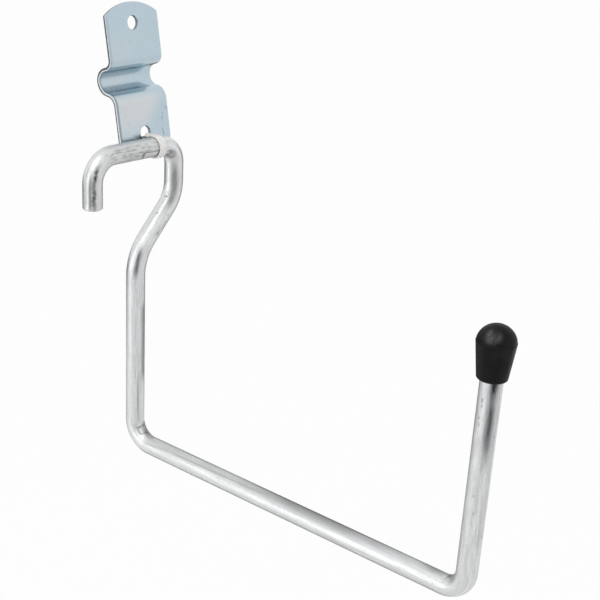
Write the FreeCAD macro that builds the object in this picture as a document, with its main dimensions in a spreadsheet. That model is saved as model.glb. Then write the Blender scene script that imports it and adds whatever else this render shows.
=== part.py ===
"""Garage utility hook: a bent steel rod with a rubber cap, and a saddle strap tied to its bar.

Millimetres. The origin is the centre of the strap's upper screw hole, on the strap's front face.
+X runs along the bar, -Y out along the arm and +Z up the leg.
"""
import FreeCAD, Part
import Sketcher
import math
import os

from FreeCAD import Vector

doc = FreeCAD.newDocument("garage_hook")

# Driving dimensions: name, value, what it is. Bend radii are measured on the rod's axis.
SIZES = [
    ("rod_diameter", 8.0, "round zinc-plated steel bar"),
    ("bar_length", 45.0, "prong axis to upper leg axis"),
    ("prong_drop", 20.3, "bar axis down to the prong's end"),
    ("prong_bend", 10.5, "bend from the prong into the bar"),
    ("prong_edge", 0.9, "rounding of the prong's end"),
    ("shoulder_bend", 8.0, "bend from the bar down into the leg"),
    ("jog_shift", 21.8, "sideways step between the upper and the lower leg"),
    ("jog_start", 22.2, "bar axis down to the step's upper corner"),
    ("jog_finish", 45.0, "bar axis down to the step's lower corner"),
    ("jog_upper_bend", 16.0, "bend into the step"),
    ("jog_lower_bend", 22.0, "bend out of the step"),
    ("leg_drop", 130.0, "bar axis down to the arm's axis"),
    ("heel_bend", 10.0, "bend from the leg into the arm"),
    ("arm_reach", 168.6, "leg axis to tip axis"),
    ("toe_bend", 9.0, "bend from the arm up into the tip"),
    ("tip_rise", 101.0, "arm axis up to the rod's end inside the cap"),
    ("cap_grip", 16.5, "length of rod inside the cap"),
    ("cap_fit", 0.05, "gap between the rod and the cap, all round"),
    ("cap_roof", 2.9, "rubber above the rod's end"),
    ("cap_width", 13.8, "across the cap where the dome begins"),
    ("cap_mouth", 10.6, "across the cap at its lip"),
    ("cap_dome", 6.2, "height of the dome"),
    ("cap_lip", 0.9, "rounding of the lip's outer edge"),
    ("strap_width", 28.0, "across the strap, along the bar"),
    ("strap_gauge", 1.5, "sheet thickness"),
    ("strap_lean", 8.4, "degrees that the strap leans back from the leg"),
    ("strap_turn", 1.7, "degrees that the strap is turned in its own plane"),
    ("hole_pitch", 44.0, "between the two screw holes"),
    ("hole_diameter", 5.5, "for a 5 mm screw"),
    ("end_margin", 8.1, "screw hole to the crown of the strap's end"),
    ("end_radius", 24.0, "arc of the strap's ends"),
    ("end_trim", 1.0, "sheet cut away beyond the crown and the sides"),
    ("bead_clearance", 0.22, "round the rod when it lies in the bead"),
    ("bead_crease", 5.6, "bend radius of the front face beside the bead"),
    ("hole_to_leg", 9.0, "upper hole to the lower leg's axis, along the bar"),
    ("hole_to_bar", 49.75, "upper hole to the bar's axis, along the strap"),
    ("strap_gap", 0.25, "strap to bar, so that the strap clears the shoulder bend"),
    ("tie_width", 3.5, "across the flat band"),
    ("tie_gauge", 0.8, "thickness of the band"),
    ("tie_side", 0.3, "between the band's edge and the side of the lower hole"),
    ("tie_fit", 0.06, "between the band and the bar"),
    ("tie_slack", 0.25, "between the band and the strap's edges"),
    ("tie_corner", 0.4, "inner radius of the band's back corners"),
    ("tie_head_width", 5.8, "locking head, along the bar"),
    ("tie_head_height", 4.4, "locking head, along the band"),
    ("tie_head_depth", 3.6, "locking head, out from the strap"),
    ("tie_head_edge", 0.7, "rounding of the head's outer edges"),
]
sheet = doc.addObject("Spreadsheet::Sheet", "Sizes")
for row, (alias, value, note) in enumerate(SIZES, start=1):
    sheet.set(f"A{row}", note)
    sheet.set(f"B{row}", str(value))
    sheet.setAlias(f"B{row}", alias)
doc.recompute()


# Sketching helpers. Places and sizes are expressions over the sheet's names.
def number(expression):
    """The present value of an expression."""
    return float(sheet.evalExpression(expression))


def point(place):
    """The present position of a pair of expressions."""
    return Vector(number(place[0]), number(place[1]), 0)


def new_sketch(body, name, role):
    """An empty sketch on one of the body's own origin planes."""
    sketch = body.newObject("Sketcher::SketchObject", name)
    support = next(feature for feature in body.Origin.OriginFeatures if feature.Role == role)
    sketch.AttachmentSupport = [(support, "")]
    sketch.MapMode = "FlatFace"
    return sketch


def bind(sketch, kind, where, expression):
    """Adds a dimension that follows an expression."""
    index = sketch.addConstraint(Sketcher.Constraint(kind, *where, number(expression)))
    sketch.setExpression(f"Constraints[{index}]", expression)


def bind_point(sketch, edge, end, place):
    """Holds one point of an edge at a pair of expressions."""
    bind(sketch, "DistanceX", (-1, 1, edge, end), place[0])
    bind(sketch, "DistanceY", (-1, 1, edge, end), place[1])


def end_at(sketch, edge, where):
    """Which end of an edge lies at a point: 1 for its start, 2 for its end."""
    return min((1, 2), key=lambda end: (sketch.getPoint(edge, end) - where).Length)


def chain(sketch, pieces, joins, kind):
    """Adds pieces of outline and joins each to the next, where joins says, by a constraint of that kind."""
    edges = [sketch.addGeometry(piece) for piece in pieces]
    following = edges[1:] + edges[:1]
    for first, second, where in zip(edges, following, joins):
        ends = (first, end_at(sketch, first, where), second, end_at(sketch, second, where))
        sketch.addConstraint(Sketcher.Constraint(kind, *ends))
    return edges


def arc_between(centre, start, end):
    """The shorter arc round a centre from one point to another."""
    middle = (start + end) * 0.5 - centre
    return Part.Arc(start, centre + middle.normalize() * (start - centre).Length, end)


def bent_path(sketch, places, bends):
    """Straight runs from place to place, with a tangent arc of the given radius at each inner corner."""
    corners = [point(place) for place in places]
    pieces = []
    joins = []
    start = corners[0]
    for before, corner, after, bend in zip(corners, corners[1:], corners[2:], bends):
        back = (before - corner).normalize()
        ahead = (after - corner).normalize()
        half_angle = back.getAngle(ahead) / 2
        reach = number(bend) / math.tan(half_angle)
        centre = corner + (back + ahead).normalize() * (number(bend) / math.sin(half_angle))
        enters = corner + back * reach
        leaves = corner + ahead * reach
        pieces += [Part.LineSegment(start, enters), arc_between(centre, enters, leaves)]
        joins += [enters, leaves]
        start = leaves
    pieces.append(Part.LineSegment(start, corners[-1]))
    edges = chain(sketch, pieces, joins, "Tangent")
    bind_point(sketch, edges[0], 1, places[0])
    bind_point(sketch, edges[-1], 2, places[-1])
    runs = edges[0::2]
    for index, bend in enumerate(bends):
        bind(sketch, "Radius", (edges[2 * index + 1],), bend)
        corner = sketch.addGeometry(Part.Point(corners[index + 1]), True)
        bind_point(sketch, corner, 1, places[index + 1])
        sketch.addConstraint(Sketcher.Constraint("PointOnObject", corner, 1, runs[index]))
        sketch.addConstraint(Sketcher.Constraint("PointOnObject", corner, 1, runs[index + 1]))


def circles(sketch, places, radius):
    """Equal circles at the given places."""
    for place in places:
        circle = sketch.addGeometry(Part.Circle(point(place), Vector(0, 0, 1), number(radius)))
        bind_point(sketch, circle, 3, place)
        bind(sketch, "Radius", (circle,), radius)


def new_body(name, placement):
    """A body whose place follows an expression."""
    body = doc.addObject("PartDesign::Body", name)
    body.Label = name
    body.setExpression("Placement", placement)
    return body


def pad(body, name, profile, length):
    """Thickens a profile equally to both sides of its plane."""
    feature = body.newObject("PartDesign::Pad", name)
    feature.Profile = profile
    feature.SideType = "Symmetric"
    feature.setExpression("Length", length)
    doc.recompute()
    return feature


def cut_through(body, name, profile):
    """Cuts a profile right through the body and checks that it took something away."""
    before = body.Shape.Volume
    feature = body.newObject("PartDesign::Pocket", name)
    feature.Profile = profile
    feature.Type = "ThroughAll"
    feature.SideType = "Symmetric"
    doc.recompute()
    if body.Shape.Volume >= before:
        raise RuntimeError(f"{name} cut nothing")
    return feature


def round_edges(body, name, base, radius, wanted):
    """Rounds the edges of a feature that the wanted test picks."""
    names = [f"Edge{index}" for index, edge in enumerate(base.Shape.Edges, start=1) if wanted(edge)]
    feature = body.newObject("PartDesign::Fillet", name)
    feature.Base = (base, names)
    feature.setExpression("Radius", radius)
    doc.recompute()
    return feature


# Where the pieces lie. The strap leans back about its upper hole, and the bar lies on its front face.
ROD_RADIUS = "Sizes.rod_diameter / 2"
BAR_STANDOFF = f"({ROD_RADIUS} + Sizes.strap_gap)"
LEAN = "rotation(vector(1; 0; 0); -Sizes.strap_lean)"
TURN = "rotation(vector(0; 1; 0); -Sizes.strap_turn)"
BAR_X = "-Sizes.hole_to_leg"
BAR_Y = f"-{BAR_STANDOFF} * cos(Sizes.strap_lean) - Sizes.hole_to_bar * sin(Sizes.strap_lean)"
BAR_Z = f"{BAR_STANDOFF} * sin(Sizes.strap_lean) - Sizes.hole_to_bar * cos(Sizes.strap_lean)"
TIP_Y = f"{BAR_Y} - Sizes.arm_reach"
CAP_Z = f"{BAR_Z} - Sizes.leg_drop + Sizes.tip_rise - Sizes.cap_grip"
UNTURNED = "rotation(vector(0; 0; 1); 0)"

# Hook rod: swept along the run that lies on the wall, then along the run that stands out from it.
rod = new_body("hook_rod", f"placement(vector({BAR_X}; {BAR_Y}; {BAR_Z}); {UNTURNED})")
PRONG_X = "Sizes.jog_shift - Sizes.bar_length"
MEETING_Z = "-(Sizes.jog_finish + Sizes.leg_drop) / 2"
wall_run = new_sketch(rod, "wall_run", "XZ_Plane")
bent_path(
    wall_run,
    [
        (PRONG_X, "-Sizes.prong_drop"),
        (PRONG_X, "0"),
        ("Sizes.jog_shift", "0"),
        ("Sizes.jog_shift", "-Sizes.jog_start"),
        ("0", "-Sizes.jog_finish"),
        ("0", MEETING_Z),
    ],
    ["Sizes.prong_bend", "Sizes.shoulder_bend", "Sizes.jog_upper_bend", "Sizes.jog_lower_bend"],
)
arm_run = new_sketch(rod, "arm_run", "YZ_Plane")
bent_path(
    arm_run,
    [
        ("0", MEETING_Z),
        ("0", "-Sizes.leg_drop"),
        ("-Sizes.arm_reach", "-Sizes.leg_drop"),
        ("-Sizes.arm_reach", "Sizes.tip_rise - Sizes.leg_drop"),
    ],
    ["Sizes.heel_bend", "Sizes.toe_bend"],
)
for run, start in ((wall_run, (PRONG_X, "-Sizes.prong_drop")), (arm_run, ("0", MEETING_Z))):
    section = new_sketch(rod, f"{run.Name}_section", "XY_Plane")
    section.setExpression("AttachmentOffset.Base.z", start[1])
    circles(section, [(start[0], "0")], ROD_RADIUS)
    sweep = rod.newObject("PartDesign::AdditivePipe", f"{run.Name}_sweep")
    sweep.Profile = section
    sweep.Spine = run
    sweep.Refine = True
    doc.recompute()


def is_prong_rim(edge):
    """True for the circle at the prong's free end."""
    box = edge.BoundBox
    return box.ZLength < 1e-6 and abs(box.ZMin + number("Sizes.prong_drop")) < 1e-6 and box.XMax < 0


round_edges(rod, "prong_end", sweep, "Sizes.prong_edge", is_prong_rim)

# End cap: a tapered skirt and a domed top turned about the tip's axis, with a blind bore.
cap = new_body("end_cap", f"placement(vector({BAR_X}; {TIP_Y}; {CAP_Z}); {UNTURNED})")
BORE_RADIUS = f"{ROD_RADIUS} + Sizes.cap_fit"
BORE_TOP = "Sizes.cap_grip + Sizes.cap_fit"
CAP_TOP = f"{BORE_TOP} + Sizes.cap_roof"
DOME_BASE = f"{CAP_TOP} - Sizes.cap_dome"
DOME_CENTRE = f"{CAP_TOP} - ((Sizes.cap_width / 2) ^ 2 + Sizes.cap_dome ^ 2) / (2 * Sizes.cap_dome)"
outline = [
    ("0", BORE_TOP),
    (BORE_RADIUS, BORE_TOP),
    (BORE_RADIUS, "0"),
    ("Sizes.cap_mouth / 2", "0"),
    ("Sizes.cap_width / 2", DOME_BASE),
    ("0", CAP_TOP),
]
cap_section = new_sketch(cap, "cap_section", "XZ_Plane")
corners = [point(place) for place in outline]
sides = [Part.LineSegment(*ends) for ends in zip(corners, corners[1:])]
sides[-1] = arc_between(point(("0", DOME_CENTRE)), corners[-2], corners[-1])
sides.append(Part.LineSegment(corners[-1], corners[0]))
cap_edges = chain(cap_section, sides, corners[1:] + corners[:1], "Coincident")
for edge, corner, place in zip(cap_edges, corners, outline):
    bind_point(cap_section, edge, end_at(cap_section, edge, corner), place)
cap_section.addConstraint(Sketcher.Constraint("PointOnObject", cap_edges[4], 3, -2))
turned = cap.newObject("PartDesign::Revolution", "cap_turned")
turned.Profile = cap_section
turned.ReferenceAxis = (cap_section, ["V_Axis"])
turned.Angle = 360
doc.recompute()


def is_lip(edge):
    """True for the outer circle of the cap's mouth."""
    box = edge.BoundBox
    return box.ZMax < 1e-6 and abs(box.XLength - number("Sizes.cap_mouth")) < 1e-3


round_edges(cap, "cap_lip", turned, "Sizes.cap_lip", is_lip)

# Wall strap: the folded section padded to its width, its ends trimmed to arcs, then the screw holes.
strap = new_body("wall_strap", f"placement(vector(0; 0; 0); {LEAN} * {TURN})")
STRAP_TOP = "Sizes.end_margin + Sizes.end_trim"
STRAP_FOOT = f"-Sizes.hole_pitch - ({STRAP_TOP})"
BEAD_Z = "-Sizes.hole_pitch / 2"
BEAD_RADIUS = f"({ROD_RADIUS} + Sizes.bead_clearance)"


def sheet_face(sketch, depth, crease, bead):
    """One face of the sheet: flange, crease, bead, crease, flange, each tangent to the next.

    The bead's centre is a rod's radius behind the front face, so a seated rod lies flush with it.
    The crease's centre is one crease radius behind its face, and one crease and bead radius from the bead's.
    """
    face_x, crease_radius, bead_radius = number(depth), number(crease), number(bead)
    bead_centre = point((ROD_RADIUS, BEAD_Z))
    across = face_x + crease_radius - bead_centre.x
    along = math.sqrt((crease_radius + bead_radius) ** 2 - across**2)
    path = []
    joins = []
    for side, flange_end in ((1, STRAP_TOP), (-1, STRAP_FOOT)):
        crease_centre = bead_centre + Vector(across, side * along, 0)
        fold = Vector(face_x, crease_centre.y, 0)
        touch = bead_centre + (crease_centre - bead_centre) * (bead_radius / (bead_radius + crease_radius))
        flange = Part.LineSegment(Vector(face_x, number(flange_end), 0), fold)
        path.append([flange, arc_between(crease_centre, fold, touch)])
        joins.append([fold, touch])
    deepest = bead_centre + Vector(bead_radius, 0, 0)
    bead_arc = Part.Arc(joins[0][1], deepest, joins[1][1])
    edges = chain(sketch, path[0] + [bead_arc] + path[1][::-1], joins[0] + joins[1][::-1], "Tangent")
    bind_point(sketch, edges[2], 3, (ROD_RADIUS, BEAD_Z))
    bind(sketch, "Radius", (edges[2],), bead)
    for flange, fold, flange_end in ((edges[0], edges[1], STRAP_TOP), (edges[4], edges[3], STRAP_FOOT)):
        bind(sketch, "Radius", (fold,), crease)
        bind_point(sketch, flange, 1, (depth, flange_end))
        sketch.addConstraint(Sketcher.Constraint("Vertical", flange))
    return edges


strap_section = new_sketch(strap, "strap_section", "YZ_Plane")
front = sheet_face(strap_section, "0", "Sizes.bead_crease", BEAD_RADIUS)
behind = sheet_face(
    strap_section,
    "Sizes.strap_gauge",
    "Sizes.bead_crease - Sizes.strap_gauge",
    f"{BEAD_RADIUS} + Sizes.strap_gauge",
)
for front_flange, back_flange in ((front[0], behind[0]), (front[4], behind[4])):
    ends = [strap_section.getPoint(flange, 1) for flange in (front_flange, back_flange)]
    sheared = strap_section.addGeometry(Part.LineSegment(*ends))
    strap_section.addConstraint(Sketcher.Constraint("Coincident", sheared, 1, front_flange, 1))
    strap_section.addConstraint(Sketcher.Constraint("Coincident", sheared, 2, back_flange, 1))
pad(strap, "strap_sheet", strap_section, "Sizes.strap_width")

end_trims = new_sketch(strap, "end_trims", "XZ_Plane")
TRIM_X = "(Sizes.strap_width / 2 + Sizes.end_trim)"
TRIM_RISE = f"sqrt(Sizes.end_radius ^ 2 - {TRIM_X} ^ 2)"
for side, middle_z in (("", "0"), ("-", "-Sizes.hole_pitch")):
    centre_place = ("0", f"{middle_z} + {side}(Sizes.end_margin - Sizes.end_radius)")
    arc_z = f"{centre_place[1]} + {side}{TRIM_RISE}"
    rim_z = f"{middle_z} + {side}(Sizes.end_margin + 2 * Sizes.end_trim)"
    waste = [(f"-{TRIM_X}", arc_z), (TRIM_X, arc_z), (TRIM_X, rim_z), (f"-{TRIM_X}", rim_z)]
    corners = [point(place) for place in waste]
    sides = [arc_between(point(centre_place), corners[0], corners[1])]
    sides += [Part.LineSegment(*ends) for ends in zip(corners[1:], corners[2:] + corners[:1])]
    edges = chain(end_trims, sides, corners[1:] + corners[:1], "Coincident")
    for edge, corner, place in zip(edges, corners, waste):
        bind_point(end_trims, edge, end_at(end_trims, edge, corner), place)
    bind(end_trims, "Radius", (edges[0],), "Sizes.end_radius")
cut_through(strap, "rounded_ends", end_trims)

screw_holes = new_sketch(strap, "screw_holes", "XZ_Plane")
circles(screw_holes, [("0", "0"), ("0", "-Sizes.hole_pitch")], "Sizes.hole_diameter / 2")
cut_through(strap, "screw_holes_cut", screw_holes)

# Tie band: a closed loop round the bar, through the lower hole and round the strap's lower end.
TIE_X = (
    "Sizes.hole_pitch * sin(Sizes.strap_turn)"
    " + (Sizes.hole_diameter - Sizes.tie_width) / 2 - Sizes.tie_side"
)
tie = new_body("tie_band", f"placement(vector({TIE_X}; 0; 0); {LEAN})")
HOLE_SILL = (
    "-Sizes.hole_pitch * cos(Sizes.strap_turn)"
    " - sqrt((Sizes.hole_diameter - Sizes.tie_side) * Sizes.tie_side)"
)
BACK_X = "(Sizes.strap_gauge + Sizes.tie_slack)"
CORNER_X = f"{BACK_X} - Sizes.tie_corner"
UPPER_Z = f"{HOLE_SILL} + Sizes.tie_slack - Sizes.tie_corner"
LOWER_Z = "-Sizes.hole_pitch - Sizes.end_margin - Sizes.tie_slack + Sizes.tie_corner"
LOOP = [
    ((f"-{BAR_STANDOFF}", "-Sizes.hole_to_bar"), f"{ROD_RADIUS} + Sizes.tie_fit"),
    ((CORNER_X, LOWER_Z), "Sizes.tie_corner"),
    ((CORNER_X, UPPER_Z), "Sizes.tie_corner"),
]


def belt(sketch, rollers):
    """A closed outline that runs round the outside of three rollers, each a centre and a radius."""
    centres = [point(place) for place, radius in rollers]
    radii = [number(radius) for place, radius in rollers]
    leaves = []
    arrives = []
    for index in range(3):
        following = (index + 1) % 3
        step = centres[following] - centres[index]
        outward = Vector(step.y, -step.x, 0).normalize()
        tilt = math.asin((radii[index] - radii[following]) / step.Length)
        normal = outward * math.cos(tilt) + step.normalize() * math.sin(tilt)
        leaves.append(centres[index] + normal * radii[index])
        arrives.append(centres[following] + normal * radii[following])
    pieces = []
    joins = []
    for index in range(3):
        turn_from, turn_to = arrives[index - 1] - centres[index], leaves[index] - centres[index]
        half_turn = math.atan2(turn_from.cross(turn_to).z, turn_from.dot(turn_to)) % (2 * math.pi) / 2
        crown = Vector(
            turn_from.x * math.cos(half_turn) - turn_from.y * math.sin(half_turn),
            turn_from.x * math.sin(half_turn) + turn_from.y * math.cos(half_turn),
            0,
        )
        pieces.append(Part.Arc(arrives[index - 1], centres[index] + crown, leaves[index]))
        pieces.append(Part.LineSegment(leaves[index], arrives[index]))
        joins += [leaves[index], arrives[index]]
    edges = chain(sketch, pieces, joins, "Tangent")
    for arc, (place, radius) in zip(edges[0::2], rollers):
        bind_point(sketch, arc, 3, place)
        bind(sketch, "Radius", (arc,), radius)


tie_loop = new_sketch(tie, "tie_loop", "YZ_Plane")
belt(tie_loop, LOOP)
belt(tie_loop, [(place, f"{radius} + Sizes.tie_gauge") for place, radius in LOOP])
pad(tie, "tie_strip", tie_loop, "Sizes.tie_width")

head_section = new_sketch(tie, "head_section", "YZ_Plane")
HEAD_Z = f"(({UPPER_Z}) + ({LOWER_Z})) / 2"
HEAD_BACK = f"{BACK_X} + Sizes.tie_head_depth"
head_outline = [
    (BACK_X, f"{HEAD_Z} - Sizes.tie_head_height / 2"),
    (HEAD_BACK, f"{HEAD_Z} - Sizes.tie_head_height / 2"),
    (HEAD_BACK, f"{HEAD_Z} + Sizes.tie_head_height / 2"),
    (BACK_X, f"{HEAD_Z} + Sizes.tie_head_height / 2"),
]
corners = [point(place) for place in head_outline]
sides = [Part.LineSegment(*ends) for ends in zip(corners, corners[1:] + corners[:1])]
edges = chain(head_section, sides, corners[1:] + corners[:1], "Coincident")
for edge, place in zip(edges, head_outline):
    bind_point(head_section, edge, 1, place)
head = pad(tie, "tie_head", head_section, "Sizes.tie_head_width")


def is_head_rim(edge):
    """True for the edges round the locking head's outer face."""
    return edge.BoundBox.YMin > number(HEAD_BACK) - 1e-6


round_edges(tie, "tie_head_rounding", head, "Sizes.tie_head_edge", is_head_rim)

# Every feature must have built, and each piece must be one sound solid, before anything is written.
doc.recompute()
for feature in doc.Objects:
    if {"Invalid", "Error"} & set(feature.State):
        raise RuntimeError(f"{feature.Label} failed: {feature.State}")
os.makedirs("parts", exist_ok=True)
pieces = (rod, cap, strap, tie)
for piece in pieces:
    if piece.Shape.isNull() or not piece.Shape.isValid() or len(piece.Shape.Solids) != 1:
        raise RuntimeError(f"{piece.Label} is not one sound solid")
for piece in pieces:
    piece.Shape.exportStep(f"parts/{piece.Label}.step")
    print(piece.Label, "volume", round(piece.Shape.Volume, 1), "mm3")
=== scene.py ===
"""Looks for a garage utility hook: a bent zinc-plated rod with a rubber cap, and its wall strap.

Pieces are worked out in millimetres and become metres where a mesh is made. The studio, WELD, the
PAINTED_HIGHLIGHT values and the bumps are in metres. The frame is the frame of the solids.
"""

import bmesh
import bpy
import numpy as np
from mathutils import Matrix


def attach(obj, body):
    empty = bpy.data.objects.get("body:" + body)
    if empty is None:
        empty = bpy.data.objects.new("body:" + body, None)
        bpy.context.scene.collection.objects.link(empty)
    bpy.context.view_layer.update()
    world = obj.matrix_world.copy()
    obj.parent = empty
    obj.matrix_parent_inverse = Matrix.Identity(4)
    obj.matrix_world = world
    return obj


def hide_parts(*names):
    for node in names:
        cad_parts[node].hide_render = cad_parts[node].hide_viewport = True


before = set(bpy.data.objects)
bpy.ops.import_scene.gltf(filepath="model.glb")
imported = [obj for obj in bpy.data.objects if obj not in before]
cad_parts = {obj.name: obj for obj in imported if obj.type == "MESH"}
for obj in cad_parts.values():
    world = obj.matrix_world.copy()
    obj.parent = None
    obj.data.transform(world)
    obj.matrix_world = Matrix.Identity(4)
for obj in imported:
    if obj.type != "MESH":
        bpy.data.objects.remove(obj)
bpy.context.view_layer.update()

# Bent rod: one length of drawn steel wire, cold bent in two planes and then bright zinc plated.
# The bender's tools left flats and wrinkles inside the bends, and the plating shows the draw lines.
MM = 0.001
ROD_RADIUS = 4.0
PRONG_EDGE = 0.9
BURIED_EDGE = 0.5
ROD_HOME = np.array([-9.0, -11.472, -48.595])
ROD_CORNERS = ROD_HOME + np.array([
    [-23.2, 0.0, -20.3],
    [-23.2, 0.0, 0.0],
    [21.8, 0.0, 0.0],
    [21.8, 0.0, -22.2],
    [0.0, 0.0, -45.0],
    [0.0, 0.0, -130.0],
    [0.0, -168.6, -130.0],
    [0.0, -168.6, -29.0],
])
ROD_BENDS = np.array([10.5, 8.0, 16.0, 22.0, 10.0, 9.0])
ROD_STEP = 0.45
ROD_AROUND = 72
LEG_MIDDLE = 150.0


def corner_turns(corners):
    """Each run's length and direction, and the angle turned through at each inner corner."""
    runs = np.diff(corners, axis=0)
    lengths = np.linalg.norm(runs, axis=1)
    ways = runs / lengths[:, None]
    return lengths, ways, np.arccos(np.clip((ways[:-1] * ways[1:]).sum(1), -1, 1))


def bent_length(corners, bends):
    """Length of a line of straight runs that are joined by a tangent arc at each corner.

    At a corner of angle w and radius r, an arc of r * w replaces two lengths of r * tan(w / 2).
    """
    lengths, ways, turns = corner_turns(corners)
    return lengths.sum() + (bends * (turns - 2 * np.tan(turns / 2))).sum()


def bent_line(corners, bends, along):
    """Places and headings at distances along straight runs joined by a tangent arc at each corner.

    A turn of angle w with radius r starts r * tan(w / 2) before its corner. On the arc, a point at
    distance d lies r * sin(d / r) ahead and r * (1 - cos(d / r)) to the inside.
    """
    lengths, ways, turns = corner_turns(corners)
    reaches = bends * np.tan(turns / 2)
    parts = np.empty(2 * len(lengths) - 1)
    parts[0::2] = lengths - np.append(reaches, 0) - np.append(0, reaches)
    parts[1::2] = bends * turns
    starts = np.append(0, np.cumsum(parts))
    part = np.clip(np.searchsorted(starts, along, side="right") - 1, 0, len(parts) - 1)
    done = along - starts[part]
    run = part // 2
    turning = part % 2 == 1
    heading = ways[run]
    follows = ways[np.minimum(run + 1, len(ways) - 1)]
    inward = follows - heading * (heading * follows).sum(1, keepdims=True)
    inward /= np.maximum(np.linalg.norm(inward, axis=1, keepdims=True), 1e-9)
    bend = bends[np.minimum(run, len(bends) - 1)]
    angle = np.where(turning, done / bend, 0)[:, None]
    run_starts = corners[:-1] + ways * np.append(0, reaches)[:, None]
    arc_starts = corners[1:] - ways * np.append(reaches, 0)[:, None]
    straight = run_starts[run] + heading * done[:, None]
    round_bend = heading * np.sin(angle) + inward * (1 - np.cos(angle))
    curved = arc_starts[run] + bend[:, None] * round_bend
    places = np.where(turning[:, None], curved, straight)
    return places, heading * np.cos(angle) + inward * np.sin(angle)


def swell(value, centre, reach):
    """A smooth hump, 1 at the centre and 0 from reach away.

    It is the square of one less the squared distance, which is counted in reaches.
    """
    return np.clip(1 - ((value - centre) / reach) ** 2, 0, 1) ** 2


def ledge(value, low, high, soft):
    """A flat hump, 1 between low and high, with soft edges of the given width."""
    rise = np.clip((value - low) / soft + 0.5, 0, 1)
    fall = np.clip((high - value) / soft + 0.5, 0, 1)
    return rise * rise * (3 - 2 * rise) * fall * fall * (3 - 2 * fall)


def skin(name, rings, joined=False):
    """Makes a piece from rings of points: quads from ring to ring, each ring closed round.

    The two ends are shut with one flat face each, or the last ring is joined to the first.
    """
    count, around = rings.shape[:2]
    index = np.arange(count * around).reshape(count, around)
    beside = np.roll(index, -1, axis=1)
    after = np.roll(index, -1, axis=0)
    after_beside = np.roll(beside, -1, axis=0)
    quads = np.stack([index, beside, after_beside, after], axis=-1)
    ends = [] if joined else [index[0, ::-1].tolist(), index[-1].tolist()]
    quads = quads if joined else quads[:-1]
    mesh = bpy.data.meshes.new(name)
    mesh.from_pydata((rings.reshape(-1, 3) * MM).tolist(), [], quads.reshape(-1, 4).tolist() + ends)
    mesh.shade_smooth()
    piece = bpy.data.objects.new(name, mesh)
    bpy.context.scene.collection.objects.link(piece)
    return piece


rod_length = bent_length(ROD_CORNERS, ROD_BENDS)
rounding = PRONG_EDGE * (1 - np.cos(np.linspace(0, np.pi / 2, 8)))
steps = np.linspace(PRONG_EDGE, rod_length, int(rod_length / ROD_STEP))[1:]
along = np.concatenate([[0.0], rounding, steps, [rod_length]])
centres, headings = bent_line(ROD_CORNERS, ROD_BENDS, along)
on_wall_run = (along < LEG_MIDDLE)[:, None]
first_side = np.where(on_wall_run, [0.0, -1.0, 0.0], np.cross([-1.0, 0.0, 0.0], headings))
second_side = np.where(on_wall_run, np.cross(headings, [0.0, -1.0, 0.0]), [-1.0, 0.0, 0.0])
around = np.linspace(-np.pi, np.pi, ROD_AROUND, endpoint=False)
distance, angle = np.meshgrid(along, around, indexing="ij")


def turned_from(degrees):
    """How far each point lies round the rod from a direction, the short way, in millimetres."""
    return ROD_RADIUS * ((angle - np.radians(degrees) + np.pi) % (2 * np.pi) - np.pi)


def oval(at, facing, length, width):
    """A smooth oval, 1 at its middle, given half its length and half its width on the surface."""
    far = np.hypot((distance - at) / length, turned_from(facing) / width)
    return np.clip(1 - far ** 2, 0, 1) ** 2


def streak(start, start_facing, end, end_facing, width):
    """A line between two places on the rod, fullest at its middle and tapered to both ends."""
    share = np.clip((distance - start) / (end - start), 0, 1)
    middle = np.radians(start_facing + (end_facing - start_facing) * share) * ROD_RADIUS
    aside = turned_from(0) - middle
    return np.clip(1 - (aside / width) ** 2, 0, 1) * np.sin(np.pi * share)


def patch(at, facing, length, width, soft):
    """An oval of one strength with a soft rim, given half its length and half its width."""
    far = np.hypot((distance - at) / length, turned_from(facing) / width)
    return np.clip((1 - far) / soft, 0, 1)


DIAMOND_POWER = 1.4


def diamond(at, facing, reach, half):
    """Distance from a plump diamond's middle, 1 on its rim.

    It is the root of the powered shares of the two half axes.
    """
    along_share = (np.abs(distance - at) / reach) ** DIAMOND_POWER
    round_share = (np.abs(turned_from(facing)) / half) ** DIAMOND_POWER
    return (along_share + round_share) ** (1 / DIAMOND_POWER)


def plate(at, facing, reach, half):
    """Distance from a rectangle's middle, 1 on its rim: the greater share of its half sides."""
    return np.maximum(np.abs(distance - at) / reach, np.abs(turned_from(facing)) / half)


def rim_line(shares, width):
    """A thin line where shares of a figure's size come to 1."""
    return np.clip(1 - ((shares - 1) / width) ** 2, 0, 1)


def inside(shares, edge, soft):
    """1 well inside a figure, 0 from its edge on: the edge less the shares, over a soft width."""
    return np.clip((edge - shares) / soft, 0, 1)


def band(start, end, soft, facing, reach):
    """A band along one side of the rod: a ledge along it times a swell across it."""
    return ledge(distance, start, end, soft) * swell(turned_from(facing), 0, reach)


HEEL_PLACE = 191.4
HEEL_FACING = 10
HEEL_SIZE = (2.6, 1.75)
HEEL_DENT = 0.22
TOE_PLACE = 355.0
TOE_FACING = 2
TOE_SIZE = (3.2, 3.2)
TOE_DENT = 0.16
CLAMP_PLACE = 44.6
CLAMP_FACING = 34
CLAMP_SIZE = (4.8, 1.75)
CLAMP_DENT = 0.09
RIPPLE = 0.004
END_SHARE = 0.85
# Dents: depth, place along the rod, facing, half length, half width.
# A depth below 0 is a raised spot.
DENTS = (
    (-0.07, 190.6, 15, 0.7, 0.4),
    (-0.06, 192.0, 8, 0.5, 0.5),
    (0.14, 80.9, 74, 0.6, 1.9),
    (-0.08, 79.5, 74, 0.8, 1.7),
    (0.10, 90.5, 71, 0.8, 0.6),
    (0.06, 88.8, 8, 0.7, 0.5),
    (0.10, 97.8, 0, 1.7, 0.5),
    (0.12, 57.2, 42, 2.0, 1.7),
    (0.09, 54.3, 20, 1.4, 0.5),
)
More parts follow.
